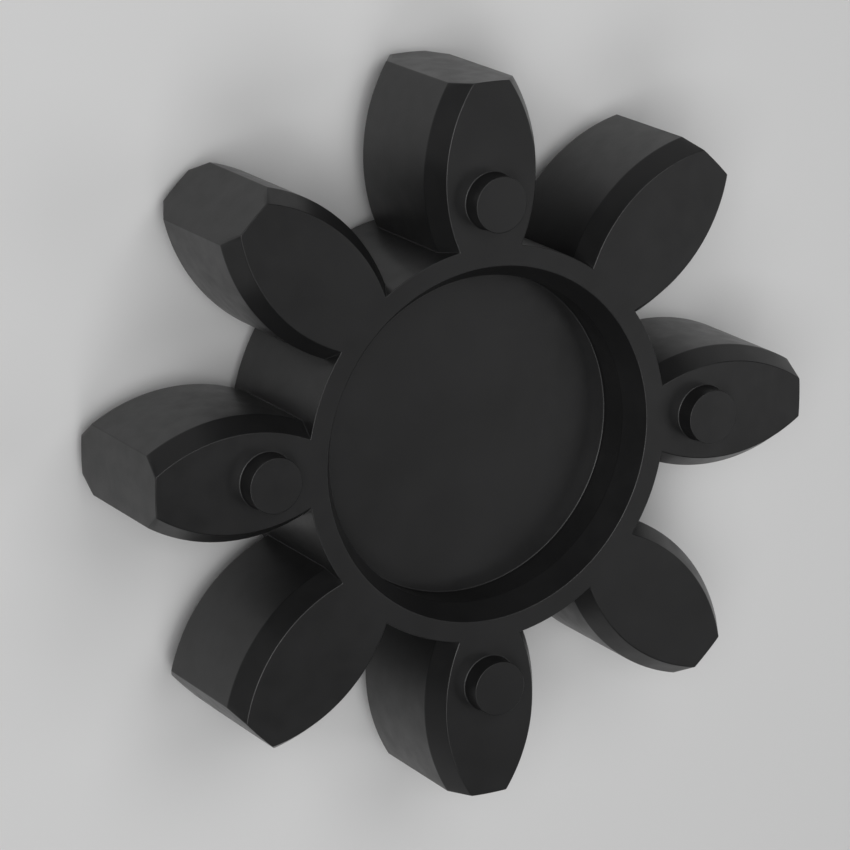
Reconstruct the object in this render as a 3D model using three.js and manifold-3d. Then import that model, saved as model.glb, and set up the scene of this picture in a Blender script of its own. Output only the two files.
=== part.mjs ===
// Jaw coupling spider: one elastomer moulding that sits between the jaws of two coupling hubs.
// A hub ring with a closed web carries the crowned teeth. Every second tooth has its spacer nub on the
// front face and the others have it on the back.
// Millimetres. +Z is the coupling's axis, and the origin lies on it, halfway through the thickness.

import * as THREE from 'three';
import { mergeVertices, toCreasedNormals } from 'three/addons/utils/BufferGeometryUtils.js';
import Module from 'manifold-3d';

// Overall sizes
const OUTER_RADIUS = 32.5;
const THICKNESS = 15;
const TOOTH_COUNT = 8;

// Teeth: the two flanks are arcs that bulge sideways, and a bevel runs along them on both faces
const TOOTH_ROOT_WIDTH = 8.4;
const TOOTH_TIP_WIDTH = 6.4;
const FLANK_RADIUS = 16;
const FLANK_BEVEL_WIDTH = 1.15;
const FLANK_BEVEL_HEIGHT = 1.95;

// Hub ring: a round recess in each face, with a bevelled rim and a closed web at its bottom
const HUB_RADIUS = 18;
const HUB_WALL = 3.15;
const RIM_BEVEL_WIDTH = 1.25;
const RIM_BEVEL_HEIGHT = 2.15;
const WEB_THICKNESS = 4.5;

// Spacer nubs: low round pads on the tooth faces
const NUB_RADIUS = 2.5;
const NUB_HEIGHT = 1.85;
const NUB_OUT_FROM_HUB = 4;

// Smoothness: straight steps that stand for each full circle
const HUB_STEPS = 120;
const OUTER_STEPS = 168;
const FLANK_STEPS = 80;
const NUB_STEPS = 40;

// Shading: edges sharper than this stay crisp
const CREASE_DEGREES = 20;

const wasm = await Module();
wasm.setup();

const elastomer = new THREE.MeshStandardMaterial({ color: 0x1b1b1c, roughness: 0.62, metalness: 0 });

// A closed geometry as a solid: shared corners are merged, and faces that shrank to a line are left out.
function solidFrom(geometry) {
  geometry.deleteAttribute('normal');
  geometry.deleteAttribute('uv');
  const merged = mergeVertices(geometry);
  const corners = merged.index.array;
  const faces = [];
  for (let i = 0; i < corners.length; i += 3) {
    const [a, b, c] = corners.slice(i, i + 3);
    if (a !== b && b !== c && c !== a) faces.push(a, b, c);
  }
  return new wasm.Manifold(new wasm.Mesh({
    numProp: 3,
    vertProperties: merged.attributes.position.array,
    triVerts: new Uint32Array(faces),
  }));
}

function geometryFrom(solid) {
  const { vertProperties, triVerts } = solid.getMesh();
  const geometry = new THREE.BufferGeometry();
  geometry.setAttribute('position', new THREE.BufferAttribute(vertProperties, 3));
  geometry.setIndex(new THREE.BufferAttribute(triVerts, 1));
  return toCreasedNormals(geometry, THREE.MathUtils.degToRad(CREASE_DEGREES));
}

// Turns a closed profile of [radius, height] points about the axis.
function turned(profile, steps) {
  const points = profile.map(([radius, height]) => new THREE.Vector2(radius, height));
  return solidFrom(new THREE.LatheGeometry(points, steps).rotateX(Math.PI / 2));
}

// The hub is one turned section: the ring, its bevelled rims, the recess walls and the web.
function hub() {
  const face = THICKNESS / 2;
  const web = WEB_THICKNESS / 2;
  const recessRadius = HUB_RADIUS - HUB_WALL;
  const half = [
    [0, web],
    [recessRadius, web],
    [recessRadius, face - RIM_BEVEL_HEIGHT],
    [recessRadius + RIM_BEVEL_WIDTH, face],
    [HUB_RADIUS, face],
  ];
  const otherHalf = half.map(([radius, height]) => [radius, -height]);
  return turned([...otherHalf, ...half.reverse()], HUB_STEPS);
}

// Where the flank's circle has its centre: it passes through the tooth's root corner on the hub and its tip
// corner on the outer circle.
function flankCentre() {
  const corner = (radius, width) => new THREE.Vector2(Math.sqrt(radius ** 2 - (width / 2) ** 2), width / 2);
  const root = corner(HUB_RADIUS, TOOTH_ROOT_WIDTH);
  const tip = corner(OUTER_RADIUS, TOOTH_TIP_WIDTH);
  const chord = tip.clone().sub(root);
  const inward = new THREE.Vector2(chord.y, -chord.x).normalize();
  const depth = Math.sqrt(FLANK_RADIUS ** 2 - chord.lengthSq() / 4);
  return root.add(tip).multiplyScalar(0.5).addScaledVector(inward, depth);
}

// A tooth along +X is what two bevelled discs share, so each flank is a round arc with its bevels.
function tooth() {
  const face = THICKNESS / 2;
  const half = [
    [0, face],
    [FLANK_RADIUS - FLANK_BEVEL_WIDTH, face],
    [FLANK_RADIUS, face - FLANK_BEVEL_HEIGHT],
  ];
  const otherHalf = half.map(([radius, height]) => [radius, -height]);
  const disc = turned([...otherHalf, ...half.reverse()], FLANK_STEPS);
  const { x, y } = flankCentre();
  return disc.translate([x, y, 0]).intersect(disc.translate([x, -y, 0]));
}

// The band that the teeth fill, from the middle of the ring's flat land to the outer circle.
function toothBand() {
  const inner = HUB_RADIUS - (HUB_WALL - RIM_BEVEL_WIDTH) / 2;
  const past = THICKNESS;
  const section = [[inner, -past], [OUTER_RADIUS, -past], [OUTER_RADIUS, past], [inner, past], [inner, -past]];
  return turned(section, OUTER_STEPS);
}

// A nub on the +Z face of the tooth along +X. Its foot reaches down to the tooth's middle.
function nub() {
  const height = THICKNESS / 2 + NUB_HEIGHT;
  const pad = new THREE.CylinderGeometry(NUB_RADIUS, NUB_RADIUS, height, NUB_STEPS).rotateX(Math.PI / 2);
  return solidFrom(pad.translate(HUB_RADIUS + NUB_OUT_FROM_HUB, 0, height / 2));
}

function spider() {
  const trimmedTooth = tooth().intersect(toothBand());
  const frontNub = nub();
  const backNub = frontNub.rotate([180, 0, 0]);
  let body = hub();
  for (let i = 0; i < TOOTH_COUNT; i++) {
    const turn = [0, 0, (360 / TOOTH_COUNT) * i];
    const ownNub = i % 2 === 0 ? frontNub : backNub;
    body = body.add(trimmedTooth.rotate(turn)).add(ownNub.rotate(turn));
  }
  return body;
}

const mesh = new THREE.Mesh(geometryFrom(spider()), elastomer);
mesh.name = 'spider';

const group = new THREE.Group();
group.add(mesh);

export default group;
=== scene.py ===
# Jaw coupling spider, dressed in its moulded elastomer finish. Metres, in the CAD part's own frame:
# +Z is the coupling's axis, and the part lies on the four nubs of its back face.
from math import atan2, cos, pi, radians, sin

import bmesh
import bpy
from mathutils import Matrix, Vector
from mathutils.geometry import intersect_sphere_sphere_2d


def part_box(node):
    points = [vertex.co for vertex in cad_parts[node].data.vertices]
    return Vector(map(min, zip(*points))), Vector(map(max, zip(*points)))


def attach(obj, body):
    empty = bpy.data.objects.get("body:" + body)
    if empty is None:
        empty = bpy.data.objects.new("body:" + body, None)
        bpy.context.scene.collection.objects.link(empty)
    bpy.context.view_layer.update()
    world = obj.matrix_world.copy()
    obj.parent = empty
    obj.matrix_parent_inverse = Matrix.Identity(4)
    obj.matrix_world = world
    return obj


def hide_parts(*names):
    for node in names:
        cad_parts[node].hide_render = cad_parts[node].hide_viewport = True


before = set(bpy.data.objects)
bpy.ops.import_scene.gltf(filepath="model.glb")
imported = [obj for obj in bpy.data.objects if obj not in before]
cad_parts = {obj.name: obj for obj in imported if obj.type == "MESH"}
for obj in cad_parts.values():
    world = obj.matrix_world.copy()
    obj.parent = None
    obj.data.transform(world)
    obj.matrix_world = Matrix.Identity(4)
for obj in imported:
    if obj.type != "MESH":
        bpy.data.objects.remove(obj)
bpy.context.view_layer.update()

scene = bpy.context.scene

# The spider is one moulding in hard black elastomer: a hub ring with a closed web and eight crowned teeth,
# each with a round spacer nub, in turn on the front and on the back. The mould rounds its edges slightly.
# Half a tooth is modelled and mirrored, then set round the ring, every second one turned over.
MM = 0.001
TOOTH_COUNT = 8
FACE = 7.5 * MM
TOOTH_ROOT_WIDTH = 8.4 * MM
TOOTH_TIP_WIDTH = 6.4 * MM
FLANK_RADIUS = 16 * MM
FLANK_BEVEL_WIDTH = 1.15 * MM
FLANK_BEVEL_HEIGHT = 1.95 * MM
HUB_RADIUS = 18 * MM
RECESS_RADIUS = 14.85 * MM
RIM_BEVEL_WIDTH = 1.25 * MM
RIM_BEVEL_HEIGHT = 2.15 * MM
WEB = 2.25 * MM
NUB_RADIUS = 2.5 * MM
NUB_PLACE = 22 * MM
FILLET = 0.15 * MM
EDGE_ROUND = 0.08 * MM
ROUND_STEPS = 3
SHARP = radians(20)
MERGE = 0.001 * MM
TIP_STEPS = 6
FLANK_STEPS = 30
HUB_STEPS = 10
RECESS_STEPS = 18
NUB_STEPS = 28

spider_low, spider_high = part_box("spider")
outer_radius = spider_high.x
nub_top = spider_high.z
half_sector = pi / TOOTH_COUNT


def corner(radius, width):
    """The tooth's corner on a circle round the axis, where the tooth is this wide."""
    return Vector(((radius ** 2 - (width / 2) ** 2) ** 0.5, width / 2))


def across(point):
    return point.y


# The arc of a flank runs from the root's corner to the tip's, and its centre is beyond the tooth's middle.
root_corner = corner(HUB_RADIUS, TOOTH_ROOT_WIDTH)
tip_corner = corner(outer_radius, TOOTH_TIP_WIDTH)
centres = intersect_sphere_sphere_2d(root_corner, FLANK_RADIUS, tip_corner, FLANK_RADIUS)
flank_centre = min(centres, key=across)


def flank_end(circle_radius, flank_radius):
    """Where a flank of this radius crosses a circle round the axis."""
    crossings = intersect_sphere_sphere_2d(Vector((0, 0)), circle_radius, flank_centre, flank_radius)
    return max(crossings, key=across)


def swing(bm, geom, centre, angle, steps):
    """Turns vertices and edges about an upright line, and leaves edges and faces behind them."""
    turned = bmesh.ops.spin(bm, geom=geom, cent=centre, axis=(0, 0, 1), angle=angle, steps=steps)
    return turned["geom_last"]


def outline(bm, inset, height):
    """The half tooth's outline at one height, from the middle of its tip to the middle of the gap."""
    flank_radius = FLANK_RADIUS - inset
    tip = flank_end(outer_radius, flank_radius)
    root = flank_end(HUB_RADIUS, flank_radius)
    tip_angle = atan2(tip.y, tip.x)
    root_angle = atan2(root.y, root.x)
    from_tip = tip - flank_centre
    from_root = root - flank_centre
    flank_angle = atan2(from_root.y, from_root.x) - atan2(from_tip.y, from_tip.x)
    first_edge = len(bm.edges)
    end = bmesh.ops.create_vert(bm, co=(outer_radius, 0, height))["vert"]
    end = swing(bm, end, (0, 0, height), tip_angle, TIP_STEPS)
    end = swing(bm, end, (*flank_centre, height), flank_angle, FLANK_STEPS)
    swing(bm, end, (0, 0, height), half_sector - root_angle, HUB_STEPS)
    bm.edges.ensure_lookup_table()
    return bm.edges[first_edge:]


def line(bm, points):
    """Edges from point to point. Gives the edges and their vertices."""
    verts = [bmesh.ops.create_vert(bm, co=point)["vert"][0] for point in points]
    return verts + [bm.edges.new(pair) for pair in zip(verts, verts[1:])]


def open_edges(bm, height):
    """The edges at this height that still lack a face on one side or both."""
    level = [e for e in bm.edges if all(abs(v.co.z - height) < MERGE for v in e.verts)]
    return [e for e in level if len(e.link_faces) < 2]


def round_edges(bm, edges, width):
    """Rounds edges, and marks the new faces as the ones that bend the shading."""
    bmesh.ops.bevel(bm, geom=edges, offset=width, offset_type="OFFSET", affect="EDGES", segments=ROUND_STEPS,
                    profile=0.5, material=-1, clamp_overlap=True, face_strength_mode="AFFECTED")


# The walls: the outline at the faces and at the shoulders under the bevels, joined from level to level.
bm = bmesh.new()
shoulder = FACE - FLANK_BEVEL_HEIGHT
levels = [(FLANK_BEVEL_WIDTH, FACE), (0, shoulder), (0, -shoulder), (FLANK_BEVEL_WIDTH, -FACE)]
outlines = [outline(bm, inset, height) for inset, height in levels]
for upper, lower in zip(outlines, outlines[1:]):
    bmesh.ops.bridge_loops(bm, edges=[*upper, *lower])

# The recess in both faces, and the lines that close the flat faces along the middle of tooth and gap.
rim = RECESS_RADIUS + RIM_BEVEL_WIDTH
gap_side = Vector((cos(half_sector), sin(half_sector), 0))
for side in (1, -1):
    section = [(RECESS_RADIUS, WEB), (RECESS_RADIUS, FACE - RIM_BEVEL_HEIGHT), (rim, FACE)]
    recess = line(bm, [(radius, 0, side * height) for radius, height in section])
    swing(bm, recess, (0, 0, 0), half_sector, RECESS_STEPS)
    face_up = Vector((0, 0, side * FACE))
    web_up = Vector((0, 0, side * WEB))
    line(bm, [gap_side * rim + face_up, gap_side * HUB_RADIUS + face_up])
    line(bm, [(RECESS_RADIUS, 0, side * WEB), web_up, gap_side * RECESS_RADIUS + web_up])

# The nub, on the front of this tooth only.
nub_inner = NUB_PLACE - NUB_RADIUS
nub_outer = NUB_PLACE + NUB_RADIUS
nub_side = line(bm, [(nub_outer, 0, FACE), (nub_outer, 0, nub_top)])
swing(bm, nub_side, (NUB_PLACE, 0, 0), pi, NUB_STEPS)
line(bm, [(nub_outer, 0, nub_top), (nub_inner, 0, nub_top)])
line(bm, [(rim, 0, FACE), (nub_inner, 0, FACE)])
line(bm, [(nub_outer, 0, FACE), (outer_radius, 0, FACE)])
line(bm, [(rim, 0, -FACE), (outer_radius, 0, -FACE)])
bmesh.ops.remove_doubles(bm, verts=bm.verts, dist=MERGE)
for height in (FACE, -FACE, WEB, -WEB, nub_top):
    bmesh.ops.edgeloop_fill(bm, edges=open_edges(bm, height))
bmesh.ops.recalc_face_normals(bm, faces=bm.faces)

# A fillet round the foot of the nub and in the recess's corner, and a small radius on all other edges.
sharp = [e for e in bm.edges if len(e.link_faces) == 2 and e.calc_face_angle() > SHARP]
feet = [e for e in sharp if not e.is_convex and abs(e.verts[0].co.z - e.verts[1].co.z) < MERGE]
others = [e for e in sharp if e not in feet]
round_edges(bm, feet, FILLET)
round_edges(bm, others, EDGE_ROUND)

bmesh.ops.mirror(bm, geom=[*bm.verts, *bm.edges, *bm.faces], axis="Y", merge_dist=MERGE)
first_tooth = [*bm.verts, *bm.edges, *bm.faces]
for place in range(1, TOOTH_COUNT):
    copy = bmesh.ops.duplicate(bm, geom=first_tooth)["geom"]
    copied_verts = [g for g in copy if isinstance(g, bmesh.types.BMVert)]
    turned_over = Matrix.Rotation(pi * (place % 2), 3, "X")
    turn = Matrix.Rotation(2 * half_sector * place, 3, "Z") @ turned_over
    bmesh.ops.rotate(bm, verts=copied_verts, cent=(0, 0, 0), matrix=turn)
bmesh.ops.remove_doubles(bm, verts=bm.verts, dist=MERGE)
bmesh.ops.recalc_face_normals(bm, faces=bm.faces)

mesh = bpy.data.meshes.new("elastomer_spider")
bm.to_mesh(mesh)
bm.free()
mesh.shade_smooth()
spider = bpy.data.objects.new("elastomer_spider", mesh)
scene.collection.objects.link(spider)
weighted = spider.modifiers.new("face_shading", "WEIGHTED_NORMAL")
weighted.use_face_influence = True

# Its finish: matt black with a faint grey bloom in clouds, smears of gloss from handling, and a fine grain.
BODY_BLACK = (0.0105, 0.0105, 0.0107, 1)
BLOOM_GREY = (0.0145, 0.0145, 0.0149, 1)
SURFACE_GLOSS = 0.42
CLOUD_SIZE = 7 * MM
CLOUD_DETAIL = 3
SMEAR_SIZE = 1.6 * MM
SMEAR_DETAIL = 4
GRAIN_SIZE = 0.16 * MM
GRAIN_DETAIL = 2
GRAIN_DEPTH = 0.004 * MM
SWELL_DEPTH = 0.006 * MM
SMOOTH_PATCH = 0.33
MATT_PATCH = 0.41
PATTERN_LOW = 0.32
PATTERN_HIGH = 0.68

elastomer = bpy.data.materials.new("black_elastomer")
elastomer.use_nodes = True
nodes = elastomer.node_tree.nodes
links = elastomer.node_tree.links
shader = nodes["Principled BSDF"]
shader.inputs["Specular IOR Level"].default_value = SURFACE_GLOSS
surface_place = nodes.new("ShaderNodeTexCoord").outputs["Object"]


def noise(size, detail):
    """A cloudy 0 to 1 pattern on the part, with blobs of about this size."""
    texture = nodes.new("ShaderNodeTexNoise")
    texture.inputs["Scale"].default_value = 1 / size
    texture.inputs["Detail"].default_value = detail
    links.new(surface_place, texture.inputs["Vector"])
    return texture.outputs["Fac"]


def spread(pattern, low, high):
    """Stretches the middle of a pattern to run from low to high."""
    fit = nodes.new("ShaderNodeMapRange")
    fit.inputs["From Min"].default_value = PATTERN_LOW
    fit.inputs["From Max"].default_value = PATTERN_HIGH
    fit.inputs["To Min"].default_value = low
    fit.inputs["To Max"].default_value = high
    links.new(pattern, fit.inputs["Value"])
    return fit.outputs["Result"]


def bump(height, depth, under=None):
    """A bump of this depth, on top of another one."""
    relief = nodes.new("ShaderNodeBump")
    relief.inputs["Strength"].default_value = 1
    relief.inputs["Distance"].default_value = depth
    links.new(height, relief.inputs["Height"])
    if under:
        links.new(under, relief.inputs["Normal"])
    return relief.outputs["Normal"]


clouds = noise(CLOUD_SIZE, CLOUD_DETAIL)
smears = noise(SMEAR_SIZE, SMEAR_DETAIL)
grain = noise(GRAIN_SIZE, GRAIN_DETAIL)
colour = nodes.new("ShaderNodeMix")
colour.data_type = "RGBA"
colour.inputs["A"].default_value = BODY_BLACK
colour.inputs["B"].default_value = BLOOM_GREY
links.new(spread(clouds, 0, 1), colour.inputs["Factor"])
links.new(colour.outputs["Result"], shader.inputs["Base Color"])
links.new(spread(smears, SMOOTH_PATCH, MATT_PATCH), shader.inputs["Roughness"])
links.new(bump(grain, GRAIN_DEPTH, bump(clouds, SWELL_DEPTH)), shader.inputs["Normal"])
mesh.materials.append(elastomer)
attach(spider, "root")
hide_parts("spider")

# The floor is a plain pale matt sheet, flat under the back nubs. It is stage, not part of the object,
# and runs far past the picture.
FLOOR_SIZE = 4
FLOOR_COLOUR = (0.72, 0.72, 0.72, 1)
FLOOR_ROUGHNESS = 0.8
bm = bmesh.new()
bmesh.ops.create_grid(bm, x_segments=1, y_segments=1, size=FLOOR_SIZE / 2)
bmesh.ops.translate(bm, verts=bm.verts, vec=(0, 0, spider_low.z))
floor_mesh = bpy.data.meshes.new("floor")
bm.to_mesh(floor_mesh)
bm.free()
floor = bpy.data.objects.new("floor", floor_mesh)
scene.collection.objects.link(floor)
sheet = bpy.data.materials.new("pale_floor")
sheet.use_nodes = True
sheet_shader = sheet.node_tree.nodes["Principled BSDF"]
sheet_shader.inputs["Base Color"].default_value = FLOOR_COLOUR
sheet_shader.inputs["Roughness"].default_value = FLOOR_ROUGHNESS
floor_mesh.materials.append(sheet)

# The camera has a long lens and looks down on the part from the photograph's angle. It is rolled, so that
# the part seems to stand up in the picture.
CAMERA_AIM = Vector((-2.41, 0.35, 0)) * MM
CAMERA_DISTANCE = 384.15 * MM
CAMERA_AZIMUTH = 149.4
CAMERA_ELEVATION = 57.27
CAMERA_ROLL = radians(116.41)
CAMERA_LENS = 183.12
CAMERA_SENSOR = 36
NEAREST_SEEN = 10 * MM


def direction(azimuth, elevation):
    """The way from the part to something at these angles, in degrees."""
    turn, rise = radians(azimuth), radians(elevation)
    return Vector((cos(turn) * cos(rise), sin(turn) * cos(rise), sin(rise)))


camera = bpy.data.objects.new("camera", bpy.data.cameras.new("camera"))
camera.data.lens = CAMERA_LENS
camera.data.sensor_width = CAMERA_SENSOR
camera.data.clip_start = NEAREST_SEEN
scene.collection.objects.link(camera)
back = direction(CAMERA_AZIMUTH, CAMERA_ELEVATION)
camera.location = CAMERA_AIM + back * CAMERA_DISTANCE
facing = (-back).to_track_quat("-Z", "Y").to_matrix()
camera.rotation_euler = (facing @ Matrix.Rotation(CAMERA_ROLL, 3, "Z")).to_euler()
scene.camera = camera

# Four large softboxes stand round the part and face it, in a dark room, so that the steep bevels and the
# recess stay darker than the faces. Each has azimuth and elevation in degrees, width, height and watts.
LAMP_DISTANCE = 0.8
LAMPS = {
    "far_softbox": (85, 60, 0.5, 0.4, 1.4),
    "left_softbox": (165, 62, 0.45, 0.4, 3.3),
    "right_softbox": (352, 44, 0.5, 0.45, 0.72),
    "near_softbox": (240, 60, 0.35, 0.35, 1.0),
}
for name, (azimuth, elevation, width, height, power) in LAMPS.items():
    light = bpy.data.lights.new(name, "AREA")
    light.shape = "RECTANGLE"
    light.size = width
    light.size_y = height
    light.energy = power
    lamp = bpy.data.objects.new(name, light)
    scene.collection.objects.link(lamp)
    away = direction(azimuth, elevation)
    lamp.location = away * LAMP_DISTANCE
    lamp.rotation_euler = (-away).to_track_quat("-Z", "Y").to_euler()
room = bpy.data.worlds.new("dark_room")
room.use_nodes = True
room.node_tree.nodes["Background"].inputs["Strength"].default_value = 0
scene.world = room
scene.view_settings.view_transform = "Standard"
